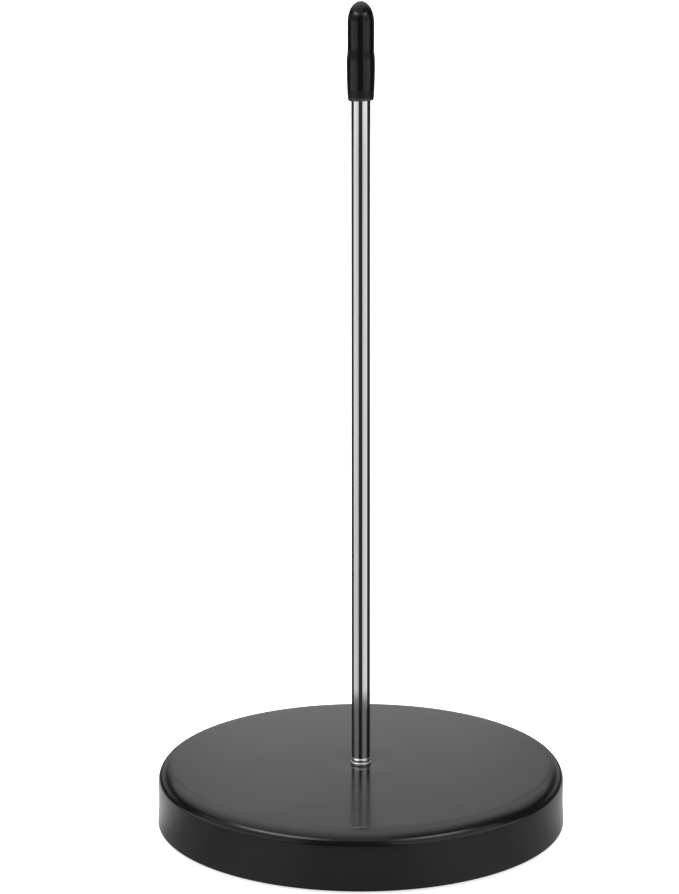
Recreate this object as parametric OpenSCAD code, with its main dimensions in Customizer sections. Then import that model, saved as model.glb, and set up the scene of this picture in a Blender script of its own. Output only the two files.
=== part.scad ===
// Receipt spike: a weighted round base, a bright upright rod with a ground
// point, and a soft safety cap that pulls off the point.
// Origin: centre of the underside of the pad, on the surface that the base
// stands on. +Z runs up the rod. Millimetres.

/* [Base shell] */
// Outside diameter of the round base, at its rim
base_d = 88.6; // [76:0.1:100]
// Height of the shell from its rim to its flat top
shell_h = 12.6; // [12.4:0.1:16]
// Outside radius of the rounded upper corner
corner_r = 3.2; // [2:0.1:4]
// Thickness of the drawn sheet
sheet_t = 0.9; // [0.7:0.1:1.2]
// How much narrower the radius is at the corner than at the rim
wall_draft = 0.19; // [0:0.01:0.4]
// How far the side wall also draws in half way up
wall_waist = 0.1; // [0:0.02:0.3]
// Hole in the shell's top for the rod's threaded stub
shell_hole_d = 3.3; // [3.2:0.1:3.6]

/* [Ballast and pad] */
// Gap between the ballast and the shell's side wall at its narrowest
ballast_gap = 0.3; // [0.2:0.1:0.6]
// Thickness of the foam pad
pad_t = 3; // [2.5:0.1:3.2]
// How far the pad stands proud of the shell's rim
pad_proud = 0.6; // [0.3:0.1:1]
// Gap between the pad's edge and the inside of the shell
pad_gap = 1.4; // [0.8:0.1:3]
// Diameter of the pocket for the nut, from below
pocket_d = 16; // [12:0.5:22]
// Thickness of iron left above the pocket
pocket_roof = 4.1; // [3.5:0.1:4.2]

/* [Rod] */
// Diameter of the straight rod
rod_d = 4; // [3.8:0.1:4.2]
// Height of the very point above the surface the base stands on
point_z = 174.4; // [120:0.1:220]
// Length of the ground cone at the top
point_l = 8.4; // [6:0.1:9]
// Diameter left blunt at the very point
point_flat_d = 0.24; // [0.1:0.02:0.5]
// Diameter of the shoulder bead
bead_d = 4.4; // [4.3:0.1:6]
// Height of the shoulder bead
bead_h = 0.9; // [0.8:0.05:1.1]
// Diameter of the domed collar under the bead
collar_d = 4.7; // [4.5:0.1:6]
// Height of the domed collar
collar_h = 0.3; // [0.2:0.05:0.65]

/* [Fixings] */
// Diameter of the threaded stub
thread_d = 3; // [2.9:0.1:3]
// Pitch of the thread ridges
thread_pitch = 0.5; // [0.45:0.05:0.6]
// Width of the nut across its flats
nut_af = 5.5; // [5.4:0.1:7]
// Height of the nut
nut_h = 2.4; // [2:0.1:2.4]
// Outside diameter of the flat washer
washer_d = 7; // [6:0.5:9]
// Thickness of the flat washer
washer_t = 0.5; // [0.4:0.1:0.6]
// Outside diameter of the spring washer
spring_d = 6.2; // [5.4:0.1:6.6]
// Thickness of the spring washer
spring_t = 0.8; // [0.6:0.1:0.8]

/* [Tip cap] */
// Length of the cap from its mouth to its domed end
cap_l = 20.36; // [19.5:0.01:24]
// Wall thickness of the cap above the waist, where nothing stretches it
cap_wall = 0.89; // [0.8:0.01:1.4]
// How much the rod swells the cap's radius below the waist
cap_swell = 0.18; // [0.05:0.01:0.3]
// Height of the waist above the mouth
cap_waist_h = 9.5; // [9:0.1:10]
// Axial length of the domed end
cap_dome_l = 4.2; // [3:0.1:5]
// Radial gap between the rod and the cap's bore
cap_gap = 0.05; // [0.02:0.01:0.08]

/* [Hidden] */
$fn = 96;

base_r = base_d / 2;
rod_r = rod_d / 2;
stub_r = thread_d / 2;
bead_r = bead_d / 2;
collar_r = collar_d / 2;

rim_z = pad_proud;                       // the shell's rim
top_z = rim_z + shell_h;                 // the shell's flat top
roof_z = top_z - sheet_t;                // underside of the shell's top
pocket_z = roof_z - pocket_roof;         // ceiling of the ballast's pocket
washer_z = pocket_z - washer_t;          // underside of the flat washer
spring_z = washer_z - spring_t;          // underside of the spring washer
nut_z = spring_z - nut_h;                // underside of the nut
stub_z = nut_z - 0.8;                    // end of the threaded stub
bead_z = top_z + collar_h;               // underside of the shoulder bead
cone_z = point_z - point_l;              // where the ground cone starts
inner_r = base_r - sheet_t;              // inside of the shell's wall
corner_x = base_r - wall_draft - corner_r;  // centre line of the rounded corner
ballast_r = inner_r - wall_draft - wall_waist - ballast_gap;
pad_r = inner_r - pad_gap;

// The cap's waist sits where the cone starts, because only the full rod
// stretches the cap.
mouth_z = cone_z + 0.05 - cap_waist_h;
cap_bore_r = rod_r + cap_gap;            // bore that the full rod fills
cap_neck_r = rod_r - 0.14;               // unstretched bore above it
cap_side_r = cap_neck_r + cap_wall;      // outside above the waist

// Points of an arc from angle a0 to a1 about (cx, cy), with radii rx and ry
function arc(cx, cy, rx, ry, a0, a1, n) =
    [for (i = [0:n]) let (a = a0 + (a1 - a0) * i / n)
        [cx + rx * cos(a), cy + ry * sin(a)]];

// 0 below lo, 1 above hi, smooth between
function ease(x, lo, hi) =
    let (t = min(1, max(0, (x - lo) / (hi - lo)))) t * t * (3 - 2 * t);

// How far the wall is drawn in at height z of the shell
function waist(z) =
    let (t = min(1, max(0, (z - rim_z) / (shell_h - corner_r))))
        wall_draft * t + wall_waist * pow(sin(180 * t), 2);

// Outside radius of the cap at height h above its mouth
cap_lip = 0.7;
function cap_side(h) =
    let (low = cap_swell * (1 - 1.05 * pow((cap_waist_h - 2.1 - h) / (cap_waist_h - 3.1), 2)),
         keep = 1 - ease(h, cap_waist_h - 1.2, cap_waist_h + 1.3))
        cap_side_r + (h < cap_waist_h - 2.1 ? low : cap_swell) * keep;
// Wall left at the mouth, before the lip is rounded off
cap_lip_t = cap_side(0) - cap_bore_r;
function cap_r(h) =
    cap_side(h) - (h < cap_lip
        ? 0.42 * cap_lip_t * (1 - sqrt(1 - pow(1 - h / cap_lip, 2.6))) : 0);

// Ridges of the thread as closed rings, from z0 up to z1: radii lo and hi
function ridges(z0, z1, lo, hi) =
    let (n = floor((z1 - z0) / thread_pitch))
        [for (i = [0:n - 1], p = [[0, lo], [0.12, lo], [0.44, hi], [0.56, hi], [0.88, lo]])
            [p[1], z0 + (i + p[0]) * thread_pitch]];

// Half-round ring section: a flat bore of radius ri, a full round outside
module lip_ring(z, h, ri, ro) {
    rotate_extrude()
        polygon(concat(
            [[ri, z], [ri, z + h]],
            arc(ro - h / 2, z + h / 2, h / 2, h / 2, 90, -90, 16)));
}

module tip_cap() {
    // outside from the mouth to the dome, then back down the bore
    dome_h = cap_l - cap_dome_l;
    neck_h = cone_z - mouth_z + 0.1;
    inner_top = point_z + 0.5 - mouth_z;
    color([0.06, 0.06, 0.065])
        translate([0, 0, mouth_z])
            rotate_extrude()
                polygon(concat(
                    [for (i = [0:8]) let (h = cap_lip * pow(i / 8, 2)) [cap_r(h), h]],
                    [for (i = [1:30]) let (h = cap_lip + (dome_h - cap_lip) * i / 30) [cap_r(h), h]],
                    arc(0, dome_h, cap_r(dome_h), cap_dome_l, 6, 84, 13),
                    [[0, cap_l], [0, inner_top]],
                    arc(0, inner_top - 2.4, cap_neck_r, 2.4, 80, 0, 8),
                    [[cap_neck_r, neck_h + 0.7], [cap_bore_r, neck_h], [cap_bore_r, 0.15],
                     [cap_bore_r + 0.18 * cap_lip_t, 0]]));
}

module spike_rod() {
    color([0.83, 0.84, 0.86]) {
        // ground point, shaft and the end of the shaft inside the bead
        translate([0, 0, cone_z])
            cylinder(h = point_l, r1 = rod_r, r2 = point_flat_d / 2);
        translate([0, 0, bead_z + bead_h / 2])
            cylinder(h = cone_z - bead_z - bead_h / 2, r = rod_r);
        // upset shoulder bead
        lip_ring(bead_z, bead_h, 0, bead_r);
        // threaded stub: plain under the shoulder, ridges down to its end
        rotate_extrude()
            polygon(concat(
                [[0, bead_z + 0.1], [0, stub_z], [stub_r - 0.5, stub_z]],
                ridges(stub_z + 0.3, pocket_z + 0.6, stub_r - 0.3, stub_r),
                [[stub_r - 0.3, pocket_z + 0.6], [stub_r, pocket_z + 0.9], [stub_r, bead_z + 0.1]]));
    }
}

module foot_collar() {
    // flat underside, quarter-round outside
    color([0.83, 0.84, 0.86])
        rotate_extrude()
            polygon(concat(
                [[stub_r + 0.05, top_z], [stub_r + 0.05, bead_z]],
                arc(collar_r - collar_h, top_z, collar_h, collar_h, 90, 0, 16)));
}

module base_shell() {
    ri = corner_r - sheet_t;
    wall_h = shell_h - corner_r;
    color([0.1, 0.1, 0.105])
        rotate_extrude()
            polygon(concat(
                // outside: rim, waisted wall, rounded corner
                [[base_r - 0.15, rim_z]],
                [for (i = [0:16]) let (z = rim_z + 0.15 + (wall_h - 0.15) * i / 16)
                    [base_r - waist(z), z]],
                arc(corner_x, top_z - corner_r, corner_r, corner_r, 5, 90, 17),
                // the hole through the flat top
                [[shell_hole_d / 2, top_z], [shell_hole_d / 2, roof_z]],
                // inside: the same corner and wall, one sheet in
                arc(corner_x, top_z - corner_r, ri, ri, 90, 5, 17),
                [for (i = [16:-1:0]) let (z = rim_z + 0.15 + (wall_h - 0.15) * i / 16)
                    [inner_r - waist(z), z]],
                [[inner_r + 0.15, rim_z]]));
}

module ballast_disc() {
    foot = pad_t;
    ch = corner_r - sheet_t + 0.4;
    color([0.25, 0.25, 0.26])
        difference() {
            rotate_extrude()
                polygon([[0, foot], [ballast_r - 0.8, foot], [ballast_r, foot + 0.8],
                         [ballast_r, roof_z - ch], [ballast_r - ch, roof_z], [0, roof_z]]);
            translate([0, 0, foot - 1])
                cylinder(h = roof_z - foot + 2, r = stub_r + 0.2);
            translate([0, 0, foot - 1])
                cylinder(h = pocket_z - foot + 1, d = pocket_d);
        }
}

module flat_washer() {
    color([0.72, 0.72, 0.68])
        translate([0, 0, washer_z])
            difference() {
                cylinder(h = washer_t, d = washer_d);
                translate([0, 0, -1]) cylinder(h = washer_t + 2, r = stub_r + 0.1);
            }
}

module spring_washer() {
    color([0.62, 0.62, 0.6])
        translate([0, 0, spring_z])
            difference() {
                cylinder(h = spring_t, d = spring_d);
                translate([0, 0, -1]) cylinder(h = spring_t + 2, r = stub_r + 0.05);
                // the slanted split of a tightened spring washer
                translate([spring_d / 2, 0, spring_t / 2])
                    rotate([35, 0, 0])
                        cube([spring_d - 1, 0.35, 6], center = true);
            }
}

module fixing_nut() {
    corner = nut_af / cos(30) / 2;
    bevel = (corner - nut_af / 2) * tan(30) + 0.05;
    color([0.72, 0.72, 0.68])
        translate([0, 0, nut_z])
            difference() {
                intersection() {
                    cylinder(h = nut_h, r = corner, $fn = 6);
                    // 30 degree bevel on both faces, turned
                    rotate_extrude()
                        polygon([[0, 0], [nut_af / 2 - 0.05, 0],
                                 [corner + 0.1, bevel + 0.06], [corner + 0.1, nut_h - bevel - 0.06],
                                 [nut_af / 2 - 0.05, nut_h], [0, nut_h]]);
                }
                // bore whose grooves follow the stub's ridges with a hair of air
                translate([0, 0, -nut_z])
                    rotate_extrude()
                        polygon(concat(
                            [[0, nut_z - 1], [stub_r - 0.25, nut_z - 1]],
                            [for (q = ridges(stub_z + 0.3, pocket_z + 0.6, stub_r - 0.27, stub_r + 0.03))
                                if (q[1] > nut_z - 0.4 && q[1] < nut_z + nut_h + 0.4) q],
                            [[stub_r - 0.25, nut_z + nut_h + 1], [0, nut_z + nut_h + 1]]));
            }
}

module bottom_pad() {
    color([0.08, 0.08, 0.08])
        rotate_extrude()
            polygon([[0, 0], [pad_r - 0.35, 0], [pad_r, 0.35], [pad_r, pad_t], [0, pad_t]]);
}

tip_cap();
spike_rod();
foot_collar();
base_shell();
ballast_disc();
flat_washer();
spring_washer();
fixing_nut();
bottom_pad();
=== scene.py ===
import math  # noqa: E402

import bpy  # noqa: E402
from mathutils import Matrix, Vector, noise  # noqa: E402


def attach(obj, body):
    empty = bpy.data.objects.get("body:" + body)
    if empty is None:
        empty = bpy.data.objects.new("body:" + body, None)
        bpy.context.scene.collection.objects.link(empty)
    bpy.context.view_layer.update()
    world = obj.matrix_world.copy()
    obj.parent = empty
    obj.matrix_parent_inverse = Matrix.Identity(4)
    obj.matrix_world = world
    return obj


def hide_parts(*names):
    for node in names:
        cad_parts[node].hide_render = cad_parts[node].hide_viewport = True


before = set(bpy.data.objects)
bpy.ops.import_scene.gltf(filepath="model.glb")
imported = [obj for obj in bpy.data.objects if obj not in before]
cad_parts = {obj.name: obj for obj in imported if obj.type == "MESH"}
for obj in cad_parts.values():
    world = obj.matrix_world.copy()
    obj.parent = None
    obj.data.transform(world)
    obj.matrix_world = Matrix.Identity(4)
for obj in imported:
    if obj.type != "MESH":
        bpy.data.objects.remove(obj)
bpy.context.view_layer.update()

MM = 0.001
TAU = 2 * math.pi

# ------------------------------------------------------------------ sizes, mm
# The same numbers as the CAD part's.
BASE_R, RIM_Z, TOP_Z, SHEET = 44.3, 0.6, 13.2, 0.9
CORNER_R, DRAFT, WAIST = 3.2, 0.19, 0.1
ROOF_Z, POCKET_Z = 12.3, 8.2
ROD_R, STUB_R = 2.0, 1.5
BEAD_R, BEAD_H, COLLAR_R, COLLAR_H = 2.2, 0.9, 2.35, 0.3
BEAD_Z = TOP_Z + COLLAR_H
CONE_Z, POINT_Z, POINT_R = 166.0, 174.4, 0.12
STUB_Z, RIDGE_Z = 3.7, 4.0
PITCH = 0.5
NUT_Z, NUT_H, NUT_AF = 4.5, 2.4, 5.5
SPRING_Z, SPRING_T, SPRING_R = 6.9, 0.8, 3.1
WASHER_Z, WASHER_T, WASHER_R = 7.7, 0.5, 3.5
PAD_T, PAD_R = 3.0, 42.0
BALLAST_R, POCKET_R = 42.81, 8.0
MOUTH_Z, CAP_L, CAP_DOME = 156.55, 20.36, 4.2
CAP_WAIST, CAP_SWELL, CAP_SIDE, CAP_BORE, CAP_NECK = 9.5, 0.18, 2.75, 2.05, 1.86
CAP_LIP = 0.7


# ------------------------------------------------------------- profile helpers
def clamp(x, lo=0.0, hi=1.0):
    return max(lo, min(hi, x))


def ease(x, lo, hi):
    """0 below lo, 1 above hi, smooth between."""
    t = clamp((x - lo) / (hi - lo))
    return t * t * (3 - 2 * t)


def arc(cx, cz, rx, rz, a0, a1, n):
    """Points of an arc about (cx, cz), angles in degrees."""
    return [
        (
            cx + rx * math.cos(math.radians(a0 + (a1 - a0) * i / n)),
            cz + rz * math.sin(math.radians(a0 + (a1 - a0) * i / n)),
        )
        for i in range(n + 1)
    ]


def run(p, q, n):
    """n steps from p towards q, without q itself."""
    return [
        (p[0] + (q[0] - p[0]) * i / n, p[1] + (q[1] - p[1]) * i / n) for i in range(n)
    ]


def rounded(corners, n=5):
    """A closed outline of (r, z, radius) corners with each corner rounded off."""
    out, count = [], len(corners)
    for i, (x, y, rad) in enumerate(corners):
        if rad <= 0:
            out.append((x, y))
            continue
        a = Vector(corners[i - 1][:2]) - Vector((x, y))
        b = Vector(corners[(i + 1) % count][:2]) - Vector((x, y))
        half = a.angle(b) / 2
        back = rad / math.tan(half)
        a.normalize()
        b.normalize()
        p, q = Vector((x, y)) + a * back, Vector((x, y)) + b * back
        mid = Vector((x, y)) + (a + b).normalized() * (rad / math.sin(half))
        u, v = p - mid, q - mid
        turn = math.atan2(u.x * v.y - u.y * v.x, u.dot(v))
        for k in range(n + 1):
            c, s = math.cos(turn * k / n), math.sin(turn * k / n)
            out.append((mid.x + u.x * c - u.y * s, mid.y + u.x * s + u.y * c))
    return out


def wobble(x, y, z, scale):
    """Smooth noise, about -0.5 to 0.5. Lengths in mm."""
    return noise.noise(Vector((x, y, z)) / scale)


# ---------------------------------------------------------------- mesh helpers
def mesh_object(name, verts, faces, body, node, mats, index=None, crease=35):
    mesh = bpy.data.meshes.new(name)
    mesh.from_pydata([(x * MM, y * MM, z * MM) for x, y, z in verts], [], faces)
    for m in mats:
        mesh.materials.append(m)
    if index:
        mesh.polygons.foreach_set("material_index", index)
    mesh.validate()
    mesh.shade_smooth()
    mesh.set_sharp_from_angle(angle=math.radians(crease))
    mesh.update()
    obj = bpy.data.objects.new(name, mesh)
    bpy.context.scene.collection.objects.link(obj)
    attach(obj, body)
    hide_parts(node)
    return obj


def turned(profile, seg, bend=None, loop=True):
    """Turns a profile of (r, z) round the Z axis: verts and faces.

    The profile runs with the solid on its left. A point at r = 0 becomes a
    single pole. bend(i, r, z, a) may move a point, a being its angle.
    """
    verts, rings = [], []
    for i, (r, z) in enumerate(profile):
        if r < 1e-6:
            rings.append([len(verts)])
            verts.append((0.0, 0.0, bend(i, 0.0, z, 0.0)[1] if bend else z))
            continue
        ring = []
        for j in range(seg):
            a = TAU * j / seg
            rr, zz = bend(i, r, z, a) if bend else (r, z)
            ring.append(len(verts))
            verts.append((rr * math.cos(a), rr * math.sin(a), zz))
        rings.append(ring)
    faces, rows = [], []
    pairs = [(i, i + 1) for i in range(len(rings) - 1)]
    if loop:
        pairs.append((len(rings) - 1, 0))
    for i, k in pairs:
        a, b = rings[i], rings[k]
        if len(a) == 1 and len(b) == 1:
            continue
        for j in range(seg):
            m = (j + 1) % seg
            if len(a) == 1:
                faces.append((a[0], b[m], b[j]))
            elif len(b) == 1:
                faces.append((a[j], a[m], b[0]))
            else:
                faces.append((a[j], a[m], b[m], b[j]))
            rows.append(i)
    return verts, faces, rows


# ------------------------------------------------------------ material helpers
class Nodes:
    """Short names for the nodes that the materials and the sky are built of."""

    def __init__(self, tree):
        self.tree = tree
        tree.nodes.clear()

    def new(self, kind, **values):
        node = self.tree.nodes.new(kind)
        for key, value in values.items():
            setattr(node, key, value)
        return node

    def put(self, socket, value):
        if isinstance(value, bpy.types.NodeSocket):
            self.tree.links.new(value, socket)
        else:
            socket.default_value = value

    def math(self, op, *args, clip=False):
        node = self.new("ShaderNodeMath", operation=op, use_clamp=clip)
        for socket, value in zip(node.inputs, args):
            self.put(socket, value)
        return node.outputs[0]

    def add(self, first, *rest):
        for x in rest:
            first = self.math("ADD", first, x)
        return first

    def mul(self, first, *rest):
        for x in rest:
            first = self.math("MULTIPLY", first, x)
        return first

    def step(self, x, lo, hi, a=0.0, b=1.0):
        """a below lo, b above hi, smooth between. lo may be the larger."""
        if lo > hi:
            lo, hi, a, b = hi, lo, b, a
        node = self.new(
            "ShaderNodeMapRange", interpolation_type="SMOOTHSTEP", clamp=True
        )
        for key, value in (
            ("Value", x),
            ("From Min", lo),
            ("From Max", hi),
            ("To Min", a),
            ("To Max", b),
        ):
            self.put(node.inputs[key], value)
        return node.outputs["Result"]

    def place(self, scale=(1, 1, 1), turn=(0, 0, 0)):
        """Object coordinates, in metres, stretched."""
        coords = self.new("ShaderNodeTexCoord")
        node = self.new("ShaderNodeMapping")
        self.put(node.inputs["Vector"], coords.outputs["Object"])
        self.put(node.inputs["Scale"], scale)
        self.put(node.inputs["Rotation"], turn)
        return node.outputs["Vector"]

    def noise(self, where, scale, detail=2.0, rough=0.5, distort=0.0):
        node = self.new("ShaderNodeTexNoise", noise_dimensions="3D")
        self.put(node.inputs["Vector"], where)
        self.put(node.inputs["Scale"], scale)
        self.put(node.inputs["Detail"], detail)
        self.put(node.inputs["Roughness"], rough)
        self.put(node.inputs["Distortion"], distort)
        return node.outputs["Fac"]

    def cells(self, where, scale, feature="F1", out="Distance", random=1.0):
        node = self.new("ShaderNodeTexVoronoi", feature=feature)
        self.put(node.inputs["Vector"], where)
        self.put(node.inputs["Scale"], scale)
        self.put(node.inputs["Randomness"], random)
        return node.outputs[out]

    def ramp(self, x, *stops):
        """Colours or greys by position."""
        node = self.new("ShaderNodeValToRGB")
        marks = node.color_ramp.elements
        while len(marks) < len(stops):
            marks.new(0.5)
        for mark, (at, colour) in zip(marks, stops):
            mark.position = at
            mark.color = (*colour, 1) if isinstance(colour, tuple) else (colour,) * 3 + (1,)
        self.put(node.inputs["Fac"], x)
        return node.outputs["Color"]

    def blend(self, f, a, b):
        node = self.new("ShaderNodeMix", data_type="RGBA")
        self.put(node.inputs["Factor"], f)
        self.put(node.inputs[6], a if isinstance(a, bpy.types.NodeSocket) else (*a, 1))
        self.put(node.inputs[7], b if isinstance(b, bpy.types.NodeSocket) else (*b, 1))
        return node.outputs[2]

    def bump(self, height, distance, strength=1.0, below=None):
        node = self.new("ShaderNodeBump")
        self.put(node.inputs["Strength"], strength)
        self.put(node.inputs["Distance"], distance)
        self.put(node.inputs["Height"], height)
        if below is not None:
            self.put(node.inputs["Normal"], below)
        return node.outputs["Normal"]


def finish_of(name, build, metallic=0.0, ior=1.5, level=0.5, **fixed):
    """A material with one Principled shader. build returns what is linked."""
    mat = bpy.data.materials.new(name)
    mat.use_nodes = True
    n = Nodes(mat.node_tree)
    out = n.new("ShaderNodeOutputMaterial")
    shader = n.new("ShaderNodeBsdfPrincipled")
    n.tree.links.new(shader.outputs["BSDF"], out.inputs["Surface"])
    shader.inputs["Metallic"].default_value = metallic
    shader.inputs["IOR"].default_value = ior
    shader.inputs["Specular IOR Level"].default_value = level
    for key, value in fixed.items():
        shader.inputs[key.replace("_", " ")].default_value = value
    for key, value in build(n).items():
        n.put(shader.inputs[key.replace("_", " ")], value)
    return mat


def paint_nodes(n):
    # stoved paint: nearly black, a faint orange peel, slightly uneven gloss
    where = n.place()
    patch = n.noise(where, 55, 3, 0.55)
    fine = n.noise(where, 1500, 2, 0.5)
    peel = n.noise(where, 620, 1.5, 0.45)
    grain = n.noise(where, 5200, 1, 0.5)
    nib = n.step(n.cells(where, 210), 0.055, 0.02)
    tint = n.blend(patch, (0.0040, 0.0040, 0.0041), (0.0056, 0.0055, 0.0055))
    rough = n.add(
        n.step(patch, 0.3, 0.7, 0.135, 0.165), n.step(fine, 0.35, 0.7, 0.0, 0.02)
    )
    normal = n.bump(peel, 2.2e-6)
    normal = n.bump(grain, 1.2e-7, below=normal)
    normal = n.bump(nib, 2.5e-6, below=normal)
    return {"Base_Color": tint, "Roughness": rough, "Normal": normal}


def chrome_nodes(n):
    # bright plate over a centreless ground bar: hair-fine lines round it
    where = n.place()
    round_lines = n.noise(n.place(scale=(60, 60, 9000)), 1, 2, 0.6)
    haze = n.noise(where, 90, 3, 0.6)
    pits = n.step(n.cells(where, 900), 0.10, 0.05)
    tint = n.blend(haze, (0.685, 0.687, 0.695), (0.720, 0.720, 0.724))
    rough = n.add(
        n.step(haze, 0.3, 0.7, 0.04, 0.065), n.step(round_lines, 0.4, 0.75, 0, 0.015)
    )
    normal = n.bump(round_lines, 5e-8)
    normal = n.bump(n.mul(pits, -1.0), 2e-7, below=normal)
    return {"Base_Color": tint, "Roughness": rough, "Normal": normal}


def ground_nodes(n):
    # bare steel as the grinding wheel left it: rings that step down the cone
    rings = n.noise(n.place(scale=(90, 90, 16000)), 1, 3, 0.65)
    coarse = n.noise(n.place(scale=(120, 120, 2600)), 1, 2, 0.5)
    patch = n.noise(n.place(), 420, 3, 0.6)
    tint = n.blend(coarse, (0.40, 0.395, 0.385), (0.56, 0.555, 0.545))
    rough = n.add(n.step(rings, 0.3, 0.7, 0.20, 0.30), n.step(patch, 0.4, 0.7, 0, 0.08))
    normal = n.bump(rings, 1.2e-6)
    normal = n.bump(coarse, 3e-6, 0.6, below=normal)
    return {"Base_Color": tint, "Roughness": rough, "Normal": normal}


def vinyl_nodes(n):
    # dip-moulded soft vinyl: a smooth sheen with a soft mottle, scuffed to a
    # dull band above the mouth, and a painted highlight: paler along the rounded lip
    where = n.place()
    split = n.new("ShaderNodeSeparateXYZ")
    n.put(split.inputs[0], where)
    mottle = n.noise(where, 420, 3, 0.55)
    skin = n.noise(where, 2600, 2, 0.5)
    drag = n.noise(n.place(scale=(900, 900, 120)), 1, 2, 0.5)
    height = n.add(split.outputs["Z"], n.mul(n.add(mottle, -0.5), 0.0008))
    scuff = n.step(height, 0.15925, 0.15835)
    # painted highlight: the rounded lip just above the mouth is painted paler grey, in patches
    edge = n.mul(n.step(height, 0.15735, 0.15695), n.step(mottle, 0.40, 0.62, 0.35, 1.0))
    tint = n.blend(mottle, (0.0028, 0.0028, 0.0030), (0.0048, 0.0047, 0.0048))
    tint = n.blend(edge, tint, (0.040, 0.040, 0.041))
    rough = n.add(
        n.step(mottle, 0.3, 0.7, 0.13, 0.165),
        n.step(skin, 0.35, 0.7, 0.0, 0.015),
        n.mul(scuff, 0.34),
    )
    normal = n.bump(drag, 1.2e-6, 0.5)
    normal = n.bump(mottle, 1.5e-6, 0.5, below=normal)
    normal = n.bump(skin, 1.2e-7, below=normal)
    return {"Base_Color": tint, "Roughness": rough, "Normal": normal}


def iron_nodes(n):
    # as-cast grey iron: sand texture, dark scale, a little rust in the lows
    where = n.place()
    sand = n.noise(where, 1700, 4, 0.7)
    lumps = n.noise(where, 260, 3, 0.6)
    rust = n.step(n.noise(where, 70, 5, 0.65), 0.56, 0.72)
    grey = n.blend(sand, (0.060, 0.059, 0.060), (0.150, 0.148, 0.145))
    tint = n.blend(n.mul(rust, 0.65), grey, (0.115, 0.052, 0.025))
    rough = n.step(sand, 0.3, 0.7, 0.62, 0.86)
    normal = n.bump(lumps, 6e-5, 0.6)
    normal = n.bump(sand, 2.5e-5, 0.8, below=normal)
    return {"Base_Color": tint, "Roughness": rough, "Normal": normal}


def zinc_nodes(n):
    # bright zinc plate: pale, spangled, faintly straw and blue by turns
    where = n.place()
    turn = n.noise(n.place(scale=(140, 140, 7000)), 1, 2, 0.55)
    hue = n.noise(where, 300, 3, 0.6)
    spangle = n.cells(where, 2400, out="Color")
    tint = n.blend(hue, (0.60, 0.605, 0.615), (0.62, 0.59, 0.50))
    tint = n.blend(n.mul(n.step(spangle, 0.2, 0.9), 0.25), tint, (0.44, 0.44, 0.43))
    rough = n.step(turn, 0.3, 0.7, 0.22, 0.36)
    normal = n.bump(turn, 1.6e-6)
    return {"Base_Color": tint, "Roughness": rough, "Normal": normal}


def spring_nodes(n):
    # hardened and oiled: dark temper colour, fine drawn lines along the wire
    where = n.place()
    film = n.noise(where, 520, 3, 0.6)
    lines = n.noise(n.place(scale=(500, 500, 9000)), 1, 2, 0.6)
    tint = n.blend(film, (0.19, 0.185, 0.20), (0.36, 0.335, 0.30))
    rough = n.step(lines, 0.3, 0.7, 0.28, 0.44)
    normal = n.bump(lines, 1.5e-6)
    return {"Base_Color": tint, "Roughness": rough, "Normal": normal}


def foam_nodes(n):
    # closed-cell foam: a skin of small burst cells, dusty black, with painted shade in the cells' hollows
    where = n.place()
    cell = n.cells(where, 2300)
    big = n.cells(where, 900)
    dust = n.noise(where, 160, 4, 0.6)
    tint = n.blend(dust, (0.013, 0.013, 0.014), (0.028, 0.028, 0.029))
    # painted shade: the sunken pits of the burst cells are painted darker
    tint = n.blend(n.step(cell, 0.35, 0.05, 0.0, 0.7), tint, (0.006, 0.006, 0.006))
    normal = n.bump(n.step(big, 0.0, 0.5), 9e-5, 0.5)
    normal = n.bump(n.step(cell, 0.0, 0.45), 7e-5, 0.8, below=normal)
    return {
        "Base_Color": tint,
        "Roughness": n.step(dust, 0.3, 0.7, 0.86, 0.97),
        "Normal": normal,
    }


PAINT = finish_of("black_paint", paint_nodes, ior=1.5)
CHROME = finish_of("bright_chrome", chrome_nodes, metallic=1.0)
GROUND = finish_of("ground_steel", ground_nodes, metallic=1.0)
VINYL = finish_of("cap_vinyl", vinyl_nodes, ior=1.4)
IRON = finish_of("cast_iron", iron_nodes, metallic=0.25)
ZINC = finish_of("zinc_steel", zinc_nodes, metallic=1.0)
SPRING = finish_of("spring_steel", spring_nodes, metallic=1.0)
FOAM = finish_of("black_foam", foam_nodes, ior=1.45)


# ------------------------------------------------------------------ base shell
def wall_in(z):
    """How far the side wall is drawn in at height z."""
    t = clamp((z - RIM_Z) / (TOP_Z - CORNER_R - RIM_Z))
    return DRAFT * t + WAIST * math.sin(math.pi * t) ** 2


def dish(r):
    """The top is pulled down a hair under the tightened collar."""
    return 0.036 * math.exp(-((r / 4.4) ** 2))


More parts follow.
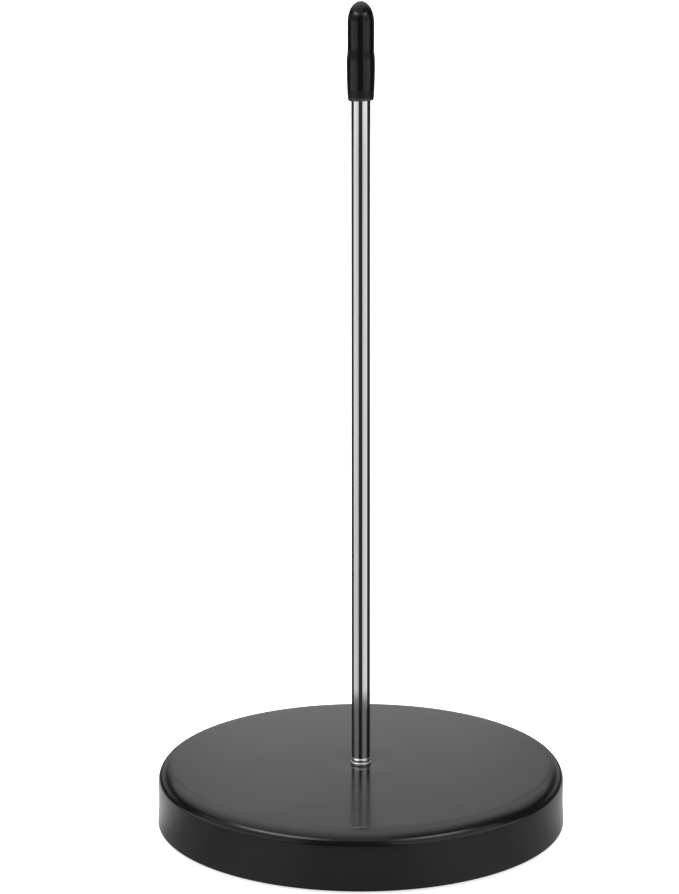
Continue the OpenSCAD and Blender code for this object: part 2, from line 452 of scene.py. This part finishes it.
def make_shell():
    hole, inner = 1.65, BASE_R - SHEET
    wall_top = TOP_Z - CORNER_R
    corner_x = BASE_R - DRAFT - CORNER_R
    top = [hole + 0.1, 1.95, 2.2, 2.45, 2.7, 3.0, 3.3, 3.7, 4.1, 4.6, 5.2, 5.9, 6.7]
    top += [7.7, 8.9, 10.4, 12.2, 14.4, 17, 20, 23, 26, 29, 32, 35, 38, 40]
    outline = [(r, TOP_Z - dish(r)) for r in top]
    outline += arc(corner_x, wall_top, CORNER_R, CORNER_R, 90, 0, 40)
    outline += [
        (BASE_R - wall_in(z), z)
        for z in [wall_top - (wall_top - RIM_Z - 0.16) * i / 26 for i in range(1, 27)]
    ]
    outline += arc(BASE_R - 0.16, RIM_Z + 0.16, 0.16, 0.16, -10, -90, 6)
    outline += arc(inner + 0.16, RIM_Z + 0.16, 0.16, 0.16, -90, -180, 6)
    outline += [
        (inner - wall_in(z), z)
        for z in [RIM_Z + 0.3 + (wall_top - RIM_Z - 0.3) * i / 16 for i in range(16)]
    ]
    ri = CORNER_R - SHEET
    outline += arc(corner_x, wall_top, ri, ri, 0, 90, 14)
    outline += [(r, ROOF_Z) for r in (38, 32, 26, 20, 14, 9, 6, 4, 3)]
    outline += [(hole + 0.05, ROOF_Z), (hole, ROOF_Z + 0.05)]
    outline += [(hole, TOP_Z - 0.13), (hole + 0.03, TOP_Z - 0.07)]
    # clockwise in (r, z) so far: the solid has to lie on the left
    outline.reverse()

    def bend(i, r, z, a):
        x, y = r * math.cos(a), r * math.sin(a)
        if z > ROOF_Z + 0.3 and 5 < r < 41:  # press flatness of the top
            z += 0.004 * wobble(x, y, 0, 17) * ease(r, 5, 12) * (1 - ease(r, 34, 41))
        if r > BASE_R - 0.5 and RIM_Z + 0.2 < z < wall_top:  # draw marks of the wall
            k = math.sin(math.pi * (z - RIM_Z) / (wall_top - RIM_Z))
            r -= 0.008 * k * (0.5 + wobble(x, y, z * 0.4, 14))
        return r, z

    v, f, _ = turned(outline, 360, bend)
    return mesh_object(
        "base_shell_skin", v, f, "stand", "base_shell", [PAINT]
    )


# ------------------------------------------------------------------------- rod
def ridge(z, a, lo, hi):
    """Radius of a right-hand thread at height z and angle a."""
    t = (z / PITCH - a / TAU) % 1.0
    t = 2 * abs(t - 0.5)  # 1 at the crest line, 0 in the root
    return lo + (hi - lo) * clamp((t - 0.1) / 0.76)


def make_rod():
    rc = BEAD_H / 2
    zc = BEAD_Z + rc
    below = [(0, STUB_Z), (0.45, STUB_Z), (0.95, STUB_Z), (1.08, STUB_Z + 0.05)]
    below += [(1.2, RIDGE_Z - 0.1)]
    thread = [(STUB_R, RIDGE_Z + (8.8 - RIDGE_Z) * i / 108) for i in range(109)]
    neck = [(STUB_R, 9.0), (STUB_R, 10.5), (STUB_R, 12.4), (STUB_R, BEAD_Z - 0.06)]
    neck += [(STUB_R + 0.05, BEAD_Z)]
    bead = arc(BEAD_R - rc, zc, rc, rc, -90, 48, 22)
    foot = [(2.02, BEAD_Z + 0.83), (2.004, BEAD_Z + 0.89), (ROD_R, BEAD_Z + 0.97)]
    shaft = [(ROD_R, 14.8 + (CONE_Z - 15.1) * i / 60) for i in range(61)]
    shaft += [(ROD_R - 0.002, CONE_Z - 0.06), (ROD_R - 0.008, CONE_Z)]
    cone = []
    steps = 84
    for i in range(1, steps):
        t = i / steps
        r = ROD_R + (POINT_R - ROD_R) * t
        r += 0.0035 * noise.noise(Vector((i * 0.73, 4.2, 1.3))) * min(1, 6 * (1 - t))
        cone.append((r, CONE_Z + (POINT_Z - CONE_Z) * t))
    tip = [(POINT_R, POINT_Z - 0.04), (POINT_R - 0.03, POINT_Z - 0.008)]
    tip += [(POINT_R - 0.07, POINT_Z), (0, POINT_Z)]
    profile = below + thread + neck + bead + foot + shaft + cone + tip
    first = len(below)
    last = first + len(thread) - 1

    def bend(i, r, z, a):
        if first <= i <= last:
            lead = ease(z, RIDGE_Z - 0.05, RIDGE_Z + 0.35)
            out = 1 - ease(z, 8.3, 8.8)
            lo = 1.2
            cut = ridge(z, a, lo, lo + (STUB_R - lo) * lead)
            r = cut * out + STUB_R * (1 - out)
        return r, z

    v, f, rows = turned(profile, 128, bend, loop=False)
    cone_from = first + len(thread) + len(neck) + len(bead) + len(foot) + len(shaft) - 1
    index = [1 if k >= cone_from else 0 for k in rows]
    return mesh_object(
        "spike_rod_skin",
        v,
        f,
        "stand",
        "spike_rod",
        [CHROME, GROUND],
        index,
        crease=28,
    )


def make_collar():
    """Domed collar: flat underside, quarter-round outside."""
    bore = STUB_R + 0.05
    outline = [(bore, TOP_Z + 0.15), (bore, TOP_Z + 0.07), (bore + 0.06, TOP_Z)]
    outline += [(1.78, TOP_Z), (2.1, TOP_Z), (COLLAR_R - 0.03, TOP_Z)]
    outline += arc(COLLAR_R - COLLAR_H, TOP_Z, COLLAR_H, COLLAR_H, 4, 90, 26)
    outline += [(1.7, BEAD_Z), (bore + 0.06, BEAD_Z), (bore, BEAD_Z - 0.06)]
    v, f, _ = turned(outline, 128)
    return mesh_object(
        "foot_collar_skin", v, f, "stand", "foot_collar", [CHROME]
    )


# --------------------------------------------------------------------- tip cap
def cap_side(h):
    low = CAP_SWELL * (1 - 1.05 * ((CAP_WAIST - 2.1 - h) / (CAP_WAIST - 3.1)) ** 2)
    keep = 1 - ease(h, CAP_WAIST - 1.2, CAP_WAIST + 1.3)
    return CAP_SIDE + (low if h < CAP_WAIST - 2.1 else CAP_SWELL) * keep


def cap_out(h):
    if h >= CAP_LIP:
        return cap_side(h)
    lip = cap_side(0) - CAP_BORE
    return cap_side(h) - 0.42 * lip * (1 - math.sqrt(1 - (1 - h / CAP_LIP) ** 2.6))


def make_cap():
    dome_h = CAP_L - CAP_DOME
    neck_h = CONE_Z - MOUTH_Z + 0.1
    inner_top = POINT_Z + 0.5 - MOUTH_Z
    out = [(cap_out(CAP_LIP * (i / 14) ** 2), CAP_LIP * (i / 14) ** 2) for i in range(15)]
    out += [
        (cap_out(h), h)
        for h in [CAP_LIP + (dome_h - CAP_LIP) * i / 64 for i in range(1, 65)]
    ]
    out += arc(0, dome_h, cap_out(dome_h), CAP_DOME, 2, 86, 34)
    out += [(0, CAP_L)]
    inside = [(0, inner_top)]
    inside += arc(0, inner_top - 2.4, CAP_NECK, 2.4, 84, 0, 12)
    inside += run((CAP_NECK, inner_top - 2.9), (CAP_NECK, neck_h + 0.8), 10)
    inside += [(CAP_NECK, neck_h + 0.7)]
    inside += run((CAP_BORE, neck_h), (CAP_BORE, 0.3), 14)
    lip = cap_side(0) - CAP_BORE
    inside += [(CAP_BORE, 0.22), (CAP_BORE + 0.05 * lip, 0.1)]
    inside += [(CAP_BORE + 0.12 * lip, 0.035), (CAP_BORE + 0.2 * lip, 0.0)]
    inside += [(CAP_BORE + 0.27 * lip, -0.002)]
    profile = out + inside
    outer = len(out)

    def bend(i, r, h, a):
        # where the skin was trimmed, the mouth runs a little uneven
        low = 1 - ease(h, 0.0, 2.6)
        rise = 0.13 * (0.5 + 0.5 * math.cos(a - 0.25)) ** 1.5
        rise += 0.035 * math.cos(3 * a + 0.9) + 0.022 * math.cos(5 * a - 2.0)
        rise -= 0.06 * max(0.0, -math.cos(a))
        rise += 0.05 * noise.noise(Vector((2.1 * math.cos(a), 2.1 * math.sin(a), 7.7)))
        z = h + low * rise
        if i < outer and h > 0.4:
            soft = ease(h, 0.4, 2.0)
            x, y = math.cos(a), math.sin(a)
            r += soft * 0.016 * noise.noise(Vector((1.5 * x, 1.5 * y, h * 0.3)))
            r += soft * 0.007 * math.cos(2 * a + 0.3 * h)
        return r, MOUTH_Z + z

    v, f, _ = turned(profile, 144, bend)
    return mesh_object("tip_cap_skin", v, f, "cap", "tip_cap", [VINYL])


# ----------------------------------------------------------- inside the base
def make_ballast():
    ch = CORNER_R - SHEET + 0.4
    top = ROOF_Z
    outline = rounded(
        [
            (STUB_R + 0.2, POCKET_Z, 0.15),
            (POCKET_R, POCKET_Z, 0.5),
            (POCKET_R, PAD_T, 0.35),
            (BALLAST_R - 0.8, PAD_T, 0.4),
            (BALLAST_R, PAD_T + 0.8, 0.5),
            (BALLAST_R, top - ch, 0.8),
            (BALLAST_R - ch, top, 0.9),
            (STUB_R + 0.2, top, 0.15),
        ],
        5,
    )
    # more points along the long faces, so that the casting skin has a grain
    dense = []
    for p, q in zip(outline, outline[1:] + outline[:1]):
        gap = math.dist(p, q)
        dense += run(p, q, max(1, min(26, int(gap / 1.3))))

    def bend(i, r, z, a):
        if r < STUB_R + 0.6:
            return r, z
        x, y = r * math.cos(a), r * math.sin(a)
        k = 0.05 + 0.05 * wobble(x, y, z, 1.6) + 0.04 * wobble(x, y, z, 6.0)
        k = clamp(k, 0.0, 0.14)
        if z > top - 0.01:
            return r, z - k * (1 if (int(a * 40) + i) % 3 else 0.3)
        if z < PAD_T + 0.01:
            return r, z + k
        if r > POCKET_R + 2:
            return r - k, z
        return r, z

    v, f, _ = turned(dense, 160, bend)
    return mesh_object(
        "ballast_skin", v, f, "stand", "ballast_disc", [IRON], crease=60
    )


def make_flat_washer():
    z0, z1 = WASHER_Z, WASHER_Z + WASHER_T
    outline = rounded(
        [
            (STUB_R + 0.1, z0, 0.03),
            (WASHER_R, z0, 0.05),
            (WASHER_R, z1, 0.14),
            (STUB_R + 0.1, z1, 0.1),
        ],
        5,
    )
    v, f, _ = turned(outline, 96)
    return mesh_object(
        "flat_washer_skin", v, f, "stand", "flat_washer", [ZINC]
    )


def make_spring_washer():
    z0, z1 = SPRING_Z, SPRING_Z + SPRING_T
    zc, ri, ro = (z0 + z1) / 2, STUB_R + 0.05, SPRING_R
    section = rounded(
        [(ri, z0, 0.07), (ro, z0, 0.1), (ro, z1, 0.1), (ri, z1, 0.07)], 4
    )
    steps, count = 96, len(section)
    verts, faces = [], []
    for k in range(steps + 1):
        t = k / steps
        for r, z in section:
            slant = -math.tan(math.radians(35)) * (z - zc)
            a0 = math.asin(clamp((slant + 0.2135) / r, -0.9, 0.9))
            a1 = TAU + math.asin(clamp((slant - 0.2135) / r, -0.9, 0.9))
            a = a0 + (a1 - a0) * t
            verts.append((r * math.cos(a), r * math.sin(a), z))
    for k in range(steps):
        for i in range(count):
            j = (i + 1) % count
            a, b = k * count, (k + 1) * count
            faces.append((a + i, b + i, b + j, a + j))
    faces.append(tuple(range(count)))
    faces.append(tuple(steps * count + i for i in range(count))[::-1])
    return mesh_object(
        "spring_washer_skin",
        verts,
        faces,
        "stand",
        "spring_washer",
        [SPRING],
    )


def make_nut():
    flat = NUT_AF / 2
    corner = flat / math.cos(math.pi / 6)
    z0, z1 = NUT_Z, NUT_Z + NUT_H
    slope = math.tan(math.radians(30))
    outline = [(flat - 0.25, z0), (flat - 0.08, z0), (flat - 0.05, z0 + 0.01)]
    outline += [(corner, z0 + 0.2), (corner, z0 + 0.24), (corner, z0 + 0.8)]
    outline += [(corner, z1 - 0.8), (corner, z1 - 0.24), (corner, z1 - 0.2)]
    outline += [(flat - 0.05, z1 - 0.01), (flat - 0.08, z1), (flat - 0.25, z1)]
    outline += [(STUB_R + 0.35, z1)]
    rows = 60
    bore = [(STUB_R, z1 - 0.02 - (NUT_H - 0.04) * i / rows) for i in range(rows + 1)]
    outline += bore + [(STUB_R + 0.35, z0)]
    first, last = 13, 13 + rows

    def bend(i, r, z, a):
        if first <= i <= last:
            cut = ridge(z, a, 1.23, STUB_R + 0.03)
            edge = max(ease(z, z1 - 0.3, z1), 1 - ease(z, z0, z0 + 0.3))
            return cut + (STUB_R + 0.2 - cut) * edge, z
        if r > corner - 0.01:
            b = (a + math.pi / 6) % (math.pi / 3) - math.pi / 6
            side = flat / math.cos(math.pi / 6 - abs(b))
            side = min(side, corner - 0.05 - 0.02 * math.cos(b * 20))
            lift = max(0.0, (side - flat + 0.05)) * slope
            mid = z0 + NUT_H / 2
            if abs(z - mid) > NUT_H / 2 - 0.22:
                z = z0 + lift if z < mid else z1 - lift
            elif abs(z - mid) > NUT_H / 2 - 0.3:
                z = z0 + lift + 0.04 if z < mid else z1 - lift - 0.04
            return side, z
        return r, z

    v, f, _ = turned(outline, 96, bend)
    return mesh_object(
        "fixing_nut_skin", v, f, "stand", "fixing_nut", [ZINC]
    )


def make_pad():
    radii = [PAD_R - 0.35 - (PAD_R - 0.5) * i / 46 for i in range(47)]
    side = rounded([(PAD_R - 1, 0, 0), (PAD_R, 0, 0.34), (PAD_R, PAD_T, 0.1), (PAD_R - 1, PAD_T, 0)], 6)
    under = [(r, 0.0) for r in reversed(radii) if r < PAD_R - 1.1]
    over = [(r, PAD_T) for r in (PAD_R - 4, PAD_R - 12, PAD_R - 22, PAD_R - 32, 4)]
    profile = [(0, 0.0)] + under + side + over + [(0, PAD_T)]

    def bend(i, r, z, a):
        x, y = r * math.cos(a), r * math.sin(a)
        if z < 0.01 and r > 0.5:
            z += clamp(0.05 * (0.35 + wobble(x, y, 3.0, 1.9) + 0.6 * wobble(x, y, 9.0, 7.0)), 0.0, 0.08)
        elif 0.01 < z < PAD_T - 0.2 and r > PAD_R - 1:
            r -= clamp(0.10 * (0.3 + wobble(x, y, z, 0.9) + wobble(x, y, z, 5.0)), 0.0, 0.14)
        return r, z

    v, f, _ = turned(profile, 224, bend, loop=False)
    return mesh_object(
        "bottom_pad_skin", v, f, "stand", "bottom_pad", [FOAM], crease=60
    )


make_shell()
make_rod()
make_collar()
make_cap()
make_ballast()
make_flat_washer()
make_spring_washer()
make_nut()
make_pad()


# ----------------------------------------------------------------------- stage
def heading(n, x, y):
    """Degrees round the vertical axis: 0 in front, positive to the right."""
    return n.mul(n.math("ARCTAN2", x, n.mul(y, -1.0)), 180 / math.pi)


def between(n, x, lo, hi, soft):
    """1 from lo to hi, with a soft step at each end."""
    return n.mul(n.step(x, lo - soft, lo + soft), n.step(x, hi + soft, hi - soft))


def disk(name, radii, z):
    verts, faces, _ = turned([(r / MM, z / MM) for r in reversed(radii)], 96, loop=False)
    mesh = bpy.data.meshes.new(name)
    mesh.from_pydata([(x * MM, y * MM, z * MM) for x, y, z in verts], [], faces)
    mesh.shade_smooth()
    obj = bpy.data.objects.new(name, mesh)
    bpy.context.scene.collection.objects.link(obj)
    return obj


def make_floor():
    """A pale table top."""
    floor = disk("floor", [0, 0.02, 0.05, 0.1, 0.2, 0.4, 0.8, 1.6, 3.2, 6.0, 9.0], 0.0)

    def nodes(n):
        grain = n.noise(n.place(), 900, 3, 0.5)
        cloud = n.noise(n.place(), 3, 2, 0.5)
        tint = n.blend(cloud, (0.915, 0.915, 0.915), (0.935, 0.935, 0.935))
        return {"Base_Color": tint, "Normal": n.bump(grain, 6e-6, 0.4)}

    mat = finish_of(
        "table_top",
        nodes,
        level=0.1,
        Roughness=0.8,
        Emission_Color=(1, 1, 1, 1),
        Emission_Strength=0.75,
    )
    floor.data.materials.append(mat)
    floor.visible_glossy = False  # reflections see the table glow instead


def make_glow():
    """What the gloss sees of the lit table: grey near the base, two bright
    fields to the sides, and dark towards the front and between the fields."""
    glow = disk("table_glow", [0, 0.06, 0.09, 0.12, 0.2, 0.5, 1.5, 4.0, 9.0], -0.0004)
    glow.visible_camera = False
    glow.visible_diffuse = False
    glow.visible_transmission = False
    glow.visible_volume_scatter = False
    glow.visible_shadow = False
    mat = bpy.data.materials.new("table_glow")
    mat.use_nodes = True
    n = Nodes(mat.node_tree)
    out = n.new("ShaderNodeOutputMaterial")
    split = n.new("ShaderNodeSeparateXYZ")
    n.put(split.inputs[0], n.new("ShaderNodeTexCoord").outputs["Object"])
    x, y, _ = split.outputs
    az = heading(n, x, y)
    far = n.math("ABSOLUTE", az)
    r = n.mul(
        n.math("SQRT", n.add(n.mul(x, x), n.mul(y, y))), 1000.0
    )
    out_there = n.step(r, 200, 700)  # 0 near the base, 1 well away

    onesided = n.add(
        n.step(az, 10, 60, 0.0, 0.05),
        n.step(az, -75, -97, 0.0, 0.27),
    )
    meet = n.step(far, 152, 180, 1.0, 0.0)  # both sides agree straight behind
    near = n.add(
        0.30,
        n.mul(between(n, far, 20, 48, 10), 0.12),
        n.step(far, 72, 98, 0.0, 0.17),
        n.mul(onesided, meet),
    )

    left = n.mul(between(n, az, -96, -29, 9), n.step(az, -96, -45, 0.92, 0.74))
    left = n.mul(left, n.step(r, 150, 500, 0.9, 1.05))
    right = n.mul(between(n, az, 19, 83, 7), n.step(az, 20, 75, 0.74, 0.92))
    # behind: up close a bright patch, further off a fainter one
    close_by = n.step(far, 122, 170, 0.0, 0.17)
    distant = n.add(n.step(az, -125, -172, 0.0, 0.35), n.step(az, 108, 165, 0.0, 0.35))
    rear = n.add(
        n.mul(close_by, n.math("SUBTRACT", 1.0, out_there)),
        n.mul(distant, out_there, n.step(r, 1500, 2100, 1.0, 0.0)),
    )
    # far away the fields are narrower and brighter
    slim = n.math("SUBTRACT", 1.0, between(n, az, -93, 82, 6))
    slim = n.math("SUBTRACT", 1.0, n.mul(slim, n.step(r, 1500, 2100)))
    side = n.mul(n.add(left, right), slim, n.step(r, 1500, 2100, 1.0, 1.2))
    away = n.add(n.mul(n.add(side, rear), n.step(r, 86, 102, 0.2, 1.0)), 0.03)

    field = n.step(r, 73, 83)
    light = n.add(
        n.mul(near, n.math("SUBTRACT", 1.0, field)), n.mul(away, field)
    )
    shine = n.new("ShaderNodeEmission")
    n.put(shine.inputs["Strength"], light)
    n.put(out.inputs["Surface"], shine.outputs[0])
    glow.data.materials.append(mat)


def make_studio():
    """The room, by direction: a broad soft box overhead that leans to the back,
    a panel with a lamp behind it on each side, dark gaps between, and a pale
    backdrop. The view itself sees plain white."""
    world = bpy.data.worlds.new("studio")
    bpy.context.scene.world = world
    world.use_nodes = True
    n = Nodes(world.node_tree)
    out = n.new("ShaderNodeOutputWorld")
    split = n.new("ShaderNodeSeparateXYZ")
    n.put(split.inputs[0], n.new("ShaderNodeTexCoord").outputs["Generated"])
    x, y, z = split.outputs
    az = heading(n, x, y)
    far = n.math("ABSOLUTE", az)
    el = n.mul(n.math("ARCSINE", z), 180 / math.pi)

    # soft box: brightest overhead, and a little brighter to the left
    tilt = math.radians(12)
    up = n.add(n.mul(z, math.cos(tilt)), n.mul(y, math.sin(tilt)))
    up = n.mul(n.math("ARCSINE", up), 180 / math.pi)
    box = n.mul(n.step(up, 20, 84, 0.0, 1.14), n.add(1.0, n.mul(x, -0.28)))

    # glow of the room: at the back from low down, elsewhere higher up, and
    # highest up on the right
    wide = n.math("MAXIMUM", n.step(az, -102, -142), n.step(az, 112, 156))
    narrow = n.step(far, 152, 174)
    rise = n.step(el, 20.5, 25)
    back = n.add(n.mul(wide, rise), n.mul(narrow, n.math("SUBTRACT", 1.0, rise)))
    back = n.mul(back, n.step(el, 6, 14))
    dim = between(n, az, 22, 112, 9)
    high = n.add(
        n.mul(n.step(el, 20, 36), n.math("SUBTRACT", 1.0, dim)),
        n.mul(n.step(el, 46, 64), dim),
    )
    high = n.mul(high, n.add(1.0, n.mul(narrow, -1.0, n.step(el, 25, 20))))
    room = n.mul(n.math("MAXIMUM", back, high), 0.44)
    # the backdrop's foot, straight behind
    foot = n.mul(
        n.step(far, 164, 174), n.mul(n.step(el, 21, 15.2), n.step(el, 8, 14)), 0.45
    )
    # a pale haze along the skyline behind
    haze = n.mul(n.step(far, 112, 138), between(n, el, -1, 10.5, 3), 0.34)
    # it falls off upwards, sideways, and to the right
    behind = n.step(far, 160, 172)
    fall = n.add(
        n.step(el, 18.35, 18.95, 1.06, 0.83),
        n.step(el, 18.8, 19.15, 0.0, -0.2),
        n.step(el, 19.1, 20.4, 0.0, -0.07),
        n.step(el, 20.5, 23, 0.0, 0.32),
    )
    fade = n.mul(n.step(far, 177.6, 173.8, 0.0, -0.45), n.step(el, 22.5, 20.6))
    fall = n.mul(fall, n.add(1.0, n.mul(x, -0.85)), n.add(1.0, fade))
    fall = n.add(1.0, n.mul(behind, n.add(fall, -1.0)))
    rear = n.mul(n.add(box, room, foot), fall)

    # side panels, with a paler skirt below and a lamp that shows above each
    left = between(n, az, -99, -31, 8)
    right = between(n, az, 15, 82, 4)
    panels = n.add(n.mul(left, n.step(az, -45, -70, 0.73, 0.82)), n.mul(right, 0.83))
    panels = n.mul(panels, between(n, el, 15, 19.8, 1.2))
    skirt = n.mul(n.add(n.mul(left, 0.65), right), between(n, el, -3, 15, 3), n.step(el, 1, 5, 0.85, 0.5))
    lamps = n.add(
        n.mul(between(n, az, -74, -27, 15), between(n, el, 23, 32.5, 2)),
        n.mul(between(n, az, 27, 62, 14), between(n, el, 22.5, 31.5, 2), 0.92),
        n.mul(between(n, az, -25, 25, 5), between(n, el, 22.5, 32, 2), 0.05),
    )
    light = n.add(rear, haze, panels, skirt, n.mul(lamps, 4.6), 0.03)

    path = n.new("ShaderNodeLightPath")
    shone = n.new("ShaderNodeBackground")
    shone.inputs["Color"].default_value = (1, 1, 1, 1)
    n.put(shone.inputs["Strength"], light)
    seen = n.new("ShaderNodeBackground")
    seen.inputs["Color"].default_value = (1, 1, 1, 1)
    seen.inputs["Strength"].default_value = 1.0
    mix = n.new("ShaderNodeMixShader")
    n.put(mix.inputs[0], path.outputs["Is Camera Ray"])
    n.put(mix.inputs[1], shone.outputs[0])
    n.put(mix.inputs[2], seen.outputs[0])
    n.put(out.inputs["Surface"], mix.outputs[0])

    # a broad lamp overhead that only fills: it lifts the table to white
    lamp = bpy.data.lights.new("overhead_fill", "AREA")
    lamp.shape = "DISK"
    lamp.size = 1.4
    lamp.energy = 9.0
    fill = bpy.data.objects.new("overhead_fill", lamp)
    fill.location = (0.0, 0.0, 1.5)
    fill.visible_glossy = False
    fill.visible_camera = False
    bpy.context.scene.collection.objects.link(fill)


def make_camera():
    data = bpy.data.cameras.new("camera")
    data.sensor_fit = "AUTO"
    data.sensor_width = 36.0
    data.lens = 102.77
    data.shift_x = -0.0239
    data.clip_start = 0.01
    data.clip_end = 60.0
    camera = bpy.data.objects.new("camera", data)
    camera.location = (0.0, -0.5315, 0.1949)
    camera.rotation_euler = (math.pi / 2 - 0.20688, 0.0, 0.0)
    bpy.context.scene.collection.objects.link(camera)
    bpy.context.scene.camera = camera


make_floor()
make_glow()
make_studio()
make_camera()
bpy.context.scene.view_settings.view_transform = "Standard"
